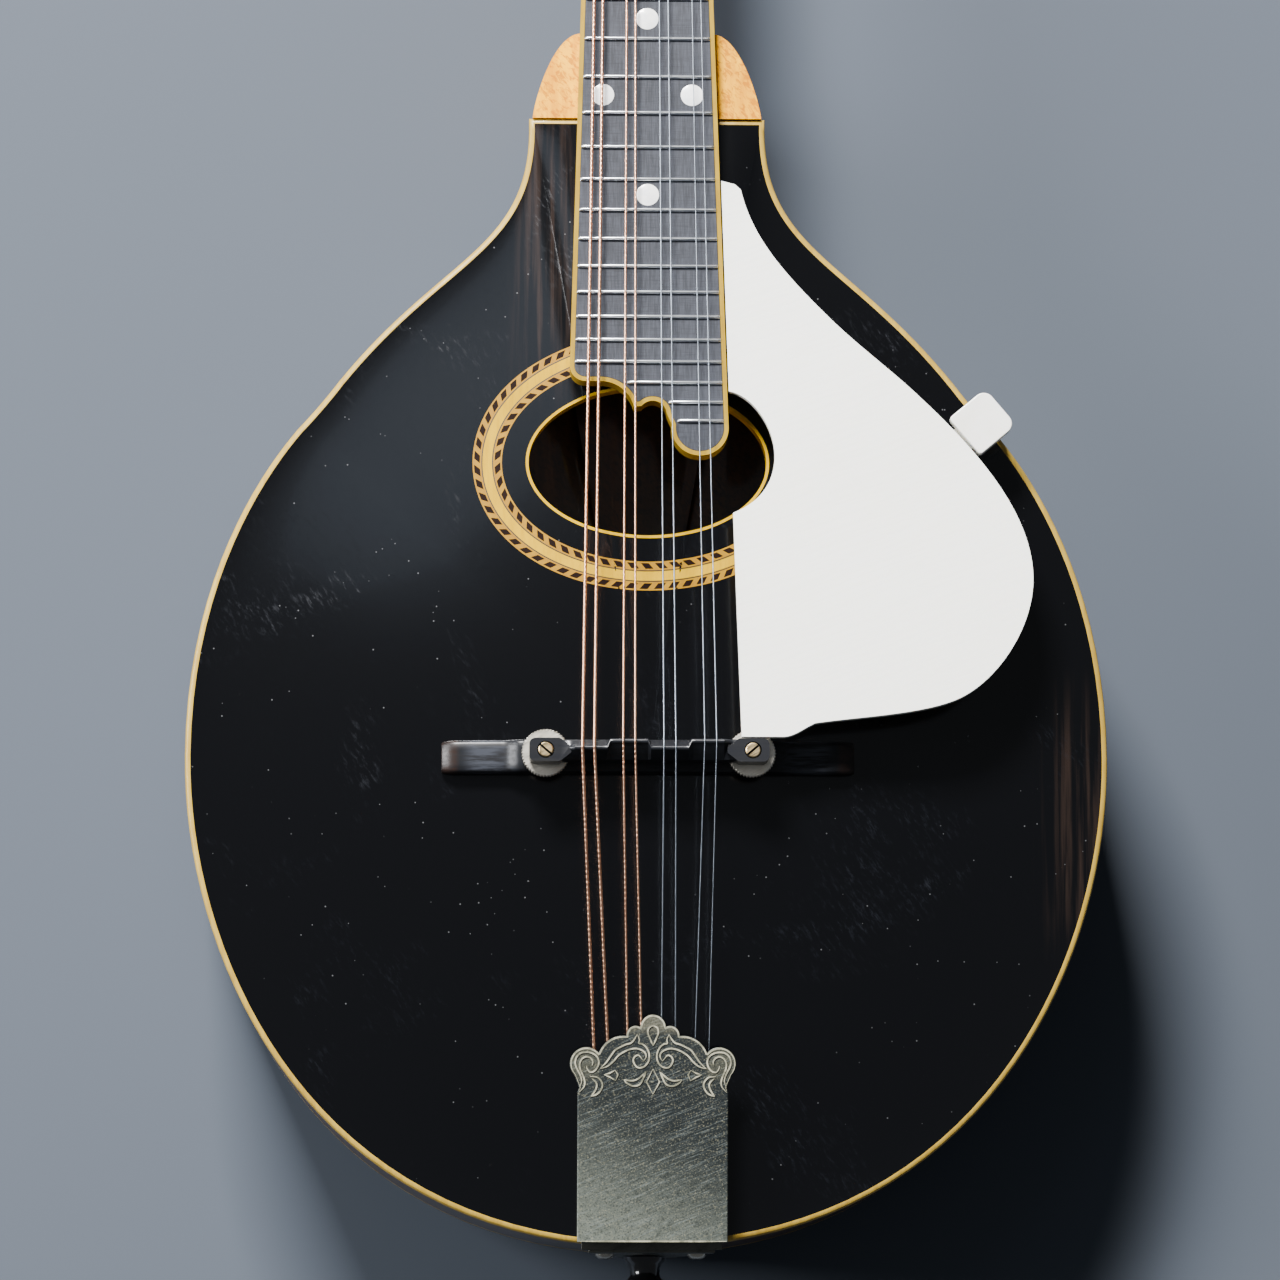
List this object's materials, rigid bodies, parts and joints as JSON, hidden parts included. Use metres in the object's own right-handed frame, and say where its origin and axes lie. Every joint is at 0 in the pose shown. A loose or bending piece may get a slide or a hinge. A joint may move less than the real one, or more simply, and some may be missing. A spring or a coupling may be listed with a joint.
{
  "type": "a-style mandolin",
  "caption": "Flat-laid carved-top mandolin with an oval soundhole, worm tuners, an adjustable bridge, a sliding tailpiece cover and a clamped pickguard.",
  "frame": {"origin": "under the middle of the bounding box, on the surface that it lies on", "axes": "+X to the treble side, +Y along the neck to the headstock, +Z out of the top"},
  "size_m": [0.251, 0.6448, 0.0959],
  "materials": {
    "black_lacquer": "gloss lacquer",
    "ivoroid": "polished",
    "rope_inlay": "lacquered",
    "body_wood": "gloss lacquer",
    "spruce": "bare",
    "maple": "lacquered",
    "ebony": "oiled",
    "bone": "satin",
    "nickel": "aged",
    "brass": "satin",
    "white_ivoroid": "polished",
    "bronze_wire": "wound wire",
    "steel_wire": "drawn wire",
    "felt": "felt"
  },
  "bodies": {
    "instrument": {"back_binding": "ivoroid", "back_lining": "spruce", "back_plate": "body_wood", "board_binding_bass": "ivoroid", "board_binding_treble": "ivoroid", "bridge_foot": "ebony", "bridge_post_bass": "brass", "bridge_post_treble": "brass", "cross_brace": "spruce", "end_pin": "ebony", "fingerboard": "ebony", "guard_bracket": "nickel", "guard_clamp_block": "white_ivoroid", "head_block": "body_wood", "headstock_overlay": "ebony", "neck": "maple", "nut": "bone", "pickguard": "white_ivoroid", "rim": "body_wood", "rosette_band": "ivoroid", "rosette_rope_inner": "rope_inlay", "rosette_rope_outer": "rope_inlay", "soundhole_binding": "ivoroid", "string_a1": "steel_wire", "string_a2": "steel_wire", "string_d1": "bronze_wire", "string_d2": "bronze_wire", "string_e1": "steel_wire", "string_e2": "steel_wire", "string_g1": "bronze_wire", "string_g2": "bronze_wire", "tail_block": "body_wood", "tailpiece_base": "nickel", "top_binding": "ivoroid", "top_lining": "spruce", "top_plate": "black_lacquer", "tuner_plate_bass": "nickel", "tuner_plate_treble": "nickel"},
    "tuner_1": {"tuner_button_1": "white_ivoroid"},
    "post_1": {"string_post_1": "nickel"},
    "tuner_2": {"tuner_button_2": "white_ivoroid"},
    "post_2": {"string_post_2": "nickel"},
    "tuner_3": {"tuner_button_3": "white_ivoroid"},
    "post_3": {"string_post_3": "nickel"},
    "tuner_4": {"tuner_button_4": "white_ivoroid"},
    "post_4": {"string_post_4": "nickel"},
    "tuner_5": {"tuner_button_5": "white_ivoroid"},
    "post_5": {"string_post_5": "nickel"},
    "tuner_6": {"tuner_button_6": "white_ivoroid"},
    "post_6": {"string_post_6": "nickel"},
    "tuner_7": {"tuner_button_7": "white_ivoroid"},
    "post_7": {"string_post_7": "nickel"},
    "tuner_8": {"tuner_button_8": "white_ivoroid"},
    "post_8": {"string_post_8": "nickel"},
    "bridge_saddle": {"saddle": "ebony"},
    "thumbwheel_bass": {"wheel_bass": "nickel"},
    "thumbwheel_treble": {"wheel_treble": "nickel"},
    "cover": {"tailpiece_cover": "nickel"},
    "clamp_pad": {"guard_pad": "felt"},
    "clamp_screw": {"guard_screw": "nickel"}
  },
  "joints": [
    {"name": "tuner_1_turn", "type": "hinge", "parent": "instrument", "child": "tuner_1", "pos_m": [-0.0178, 0.20372, 0.03067], "axis": [1, 0, 0], "continuous": true},
    {"name": "post_1_turn", "type": "hinge", "parent": "instrument", "child": "post_1", "pos_m": [-0.0178, 0.21659, 0.04472], "axis": [0, 0.2924, 0.9563], "continuous": true},
    {"name": "tuner_2_turn", "type": "hinge", "parent": "instrument", "child": "tuner_2", "pos_m": [-0.0178, 0.22572, 0.02395], "axis": [1, 0, 0], "continuous": true},
    {"name": "post_2_turn", "type": "hinge", "parent": "instrument", "child": "post_2", "pos_m": [-0.0178, 0.23859, 0.038], "axis": [0, 0.2924, 0.9563], "continuous": true},
    {"name": "tuner_3_turn", "type": "hinge", "parent": "instrument", "child": "tuner_3", "pos_m": [-0.0178, 0.24771, 0.01722], "axis": [1, 0, 0], "continuous": true},
    {"name": "post_3_turn", "type": "hinge", "parent": "instrument", "child": "post_3", "pos_m": [-0.0178, 0.26058, 0.03127], "axis": [0, 0.2924, 0.9563], "continuous": true},
    {"name": "tuner_4_turn", "type": "hinge", "parent": "instrument", "child": "tuner_4", "pos_m": [-0.0178, 0.26971, 0.0105], "axis": [1, 0, 0], "continuous": true},
    {"name": "post_4_turn", "type": "hinge", "parent": "instrument", "child": "post_4", "pos_m": [-0.0178, 0.28258, 0.02455], "axis": [0, 0.2924, 0.9563], "continuous": true},
    {"name": "tuner_5_turn", "type": "hinge", "parent": "instrument", "child": "tuner_5", "pos_m": [0.0178, 0.20372, 0.03067], "axis": [1, 0, 0], "continuous": true},
    {"name": "post_5_turn", "type": "hinge", "parent": "instrument", "child": "post_5", "pos_m": [0.0178, 0.21659, 0.04472], "axis": [0, 0.2924, 0.9563], "continuous": true},
    {"name": "tuner_6_turn", "type": "hinge", "parent": "instrument", "child": "tuner_6", "pos_m": [0.0178, 0.22572, 0.02395], "axis": [1, 0, 0], "continuous": true},
    {"name": "post_6_turn", "type": "hinge", "parent": "instrument", "child": "post_6", "pos_m": [0.0178, 0.23859, 0.038], "axis": [0, 0.2924, 0.9563], "continuous": true},
    {"name": "tuner_7_turn", "type": "hinge", "parent": "instrument", "child": "tuner_7", "pos_m": [0.0178, 0.24771, 0.01722], "axis": [1, 0, 0], "continuous": true},
    {"name": "post_7_turn", "type": "hinge", "parent": "instrument", "child": "post_7", "pos_m": [0.0178, 0.26058, 0.03127], "axis": [0, 0.2924, 0.9563], "continuous": true},
    {"name": "tuner_8_turn", "type": "hinge", "parent": "instrument", "child": "tuner_8", "pos_m": [0.0178, 0.26971, 0.0105], "axis": [1, 0, 0], "continuous": true},
    {"name": "post_8_turn", "type": "hinge", "parent": "instrument", "child": "post_8", "pos_m": [0.0178, 0.28258, 0.02455], "axis": [0, 0.2924, 0.9563], "continuous": true},
    {"name": "saddle_lift", "type": "slide", "parent": "instrument", "child": "bridge_saddle", "axis": [0, 0, 1], "range_m": [-0.0008, 0.0018], "deforming": ["string_a1", "string_a2", "string_d1", "string_d2", "string_e1", "string_e2", "string_g1", "string_g2"]},
    {"name": "wheel_treble_turn", "type": "hinge", "parent": "bridge_saddle", "child": "thumbwheel_treble", "pos_m": [0.02775, -0.17807, 0.0847], "axis": [0, 0, 1], "range_deg": [-361, 811]},
    {"name": "wheel_bass_turn", "type": "hinge", "parent": "bridge_saddle", "child": "thumbwheel_bass", "pos_m": [-0.02775, -0.17807, 0.0847], "axis": [0, 0, 1], "range_deg": [-361, 811]},
    {"name": "cover_slide", "type": "slide", "parent": "instrument", "child": "cover", "axis": [0, -0.9925, -0.1219], "range_m": [0, 0.045]},
    {"name": "clamp_pad_slide", "type": "slide", "parent": "instrument", "child": "clamp_pad", "axis": [0, 0, -1], "range_m": [0, 0.0025]},
    {"name": "clamp_screw_turn", "type": "hinge", "parent": "clamp_pad", "child": "clamp_screw", "pos_m": [0.0907, -0.08672, 0.0648], "axis": [0, 0, -1], "range_deg": [0, 1287]}
  ],
  "couplings": [
    {"joint": "post_1_turn", "follows": "tuner_1_turn", "ratio": -0.083333},
    {"joint": "post_2_turn", "follows": "tuner_2_turn", "ratio": -0.083333},
    {"joint": "post_3_turn", "follows": "tuner_3_turn", "ratio": -0.083333},
    {"joint": "post_4_turn", "follows": "tuner_4_turn", "ratio": -0.083333},
    {"joint": "post_5_turn", "follows": "tuner_5_turn", "ratio": -0.083333},
    {"joint": "post_6_turn", "follows": "tuner_6_turn", "ratio": -0.083333},
    {"joint": "post_7_turn", "follows": "tuner_7_turn", "ratio": -0.083333},
    {"joint": "post_8_turn", "follows": "tuner_8_turn", "ratio": -0.083333},
    {"joint": "wheel_treble_turn", "follows": "saddle_lift", "rad_per_m": 7854},
    {"joint": "wheel_bass_turn", "follows": "saddle_lift", "rad_per_m": 7854},
    {"joint": "clamp_screw_turn", "follows": "clamp_pad_slide", "rad_per_m": 8976}
  ]
}
